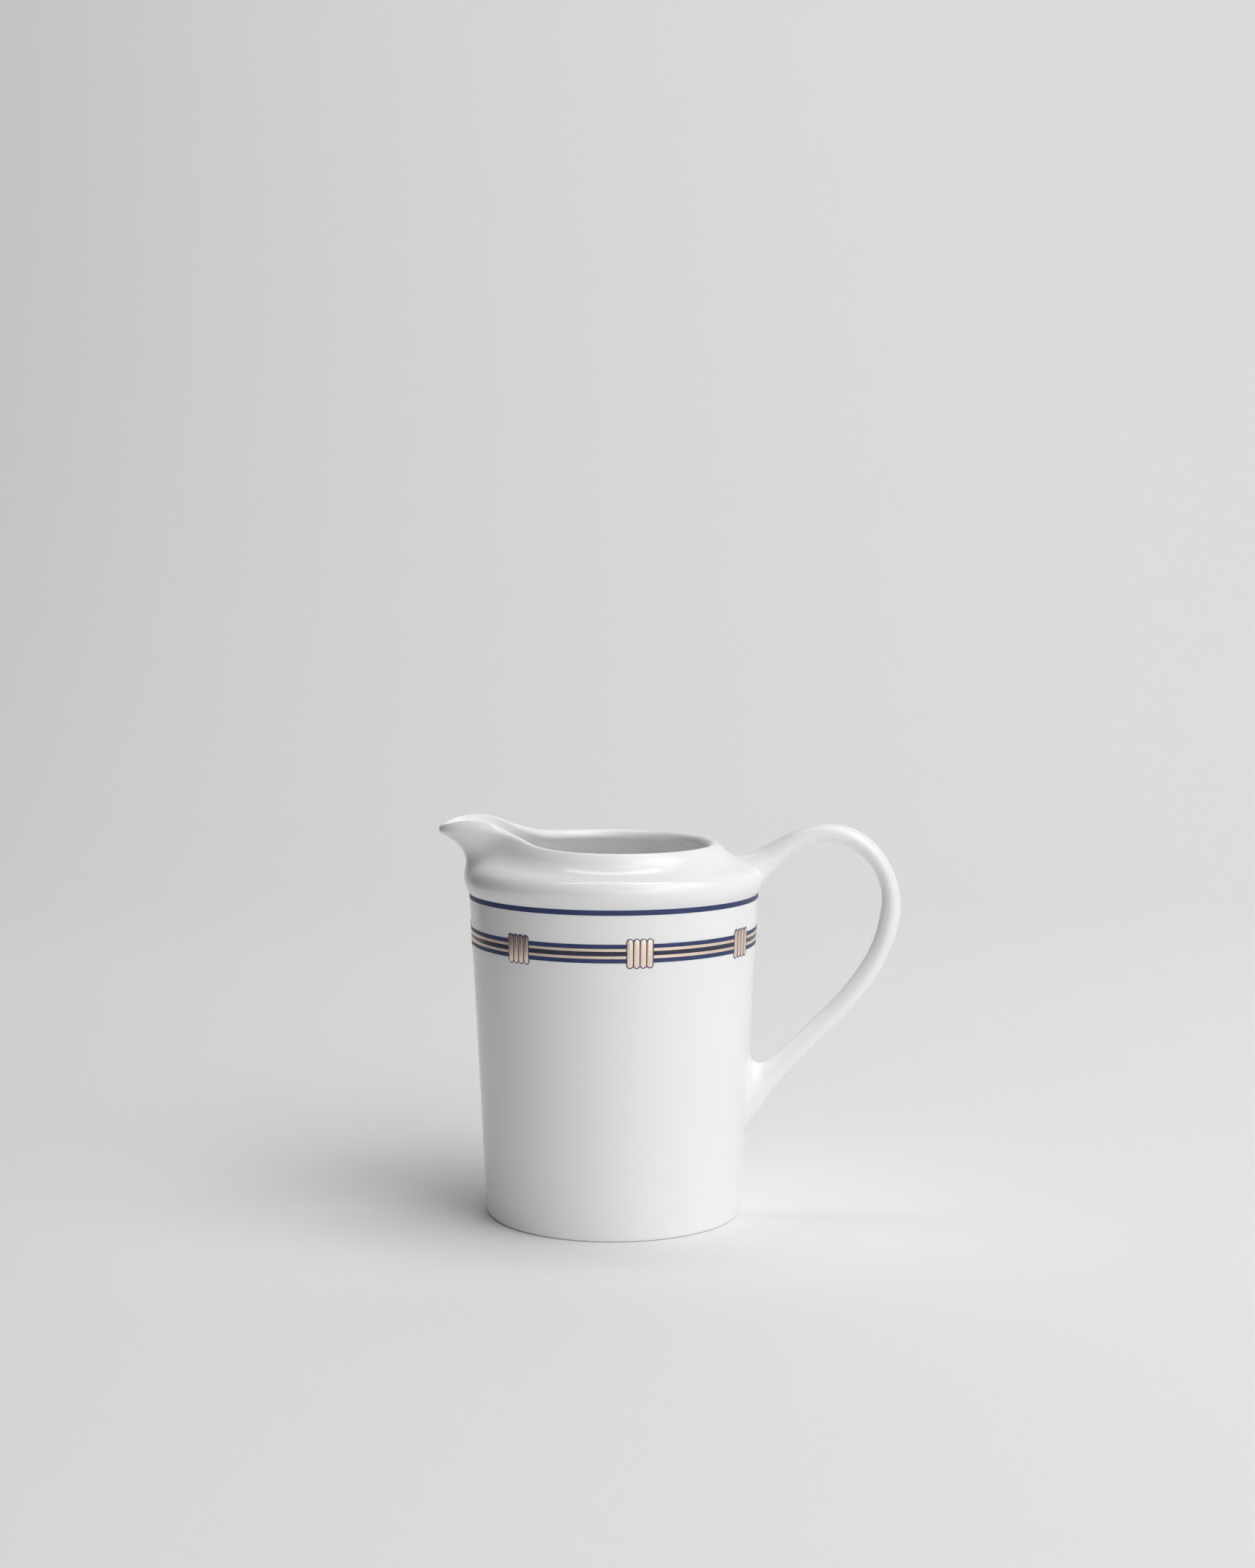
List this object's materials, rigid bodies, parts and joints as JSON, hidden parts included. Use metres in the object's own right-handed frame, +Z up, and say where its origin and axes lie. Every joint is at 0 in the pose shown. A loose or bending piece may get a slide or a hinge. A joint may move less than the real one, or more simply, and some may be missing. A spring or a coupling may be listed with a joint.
{
  "type": "cream jug",
  "caption": "Small white porcelain cream jug with a tapered body, pouring lip and tall loop handle, banded in navy and gold",
  "frame": {"origin": "centre of the foot ring, on the surface the jug stands on", "axes": "+Z up; +X from the jug's axis towards the handle, -X towards the pouring lip; the jug is the same on both sides of the XZ plane"},
  "size_m": [0.1155, 0.0746, 0.0994],
  "materials": {
    "glazed_porcelain": "gloss",
    "navy_enamel": "gloss",
    "gold_lustre": "satin"
  },
  "bodies": {
    "root": {"jug_body": "glazed_porcelain", "handle": "glazed_porcelain", "shoulder_line": "navy_enamel", "stripe_1_navy": "navy_enamel", "stripe_2_gold": "gold_lustre", "stripe_3_navy": "navy_enamel", "stripe_4_gold": "gold_lustre", "stripe_5_navy": "navy_enamel", "clasp_outlines": "navy_enamel", "clasp_bars": "gold_lustre"}
  },
  "joints": []
}
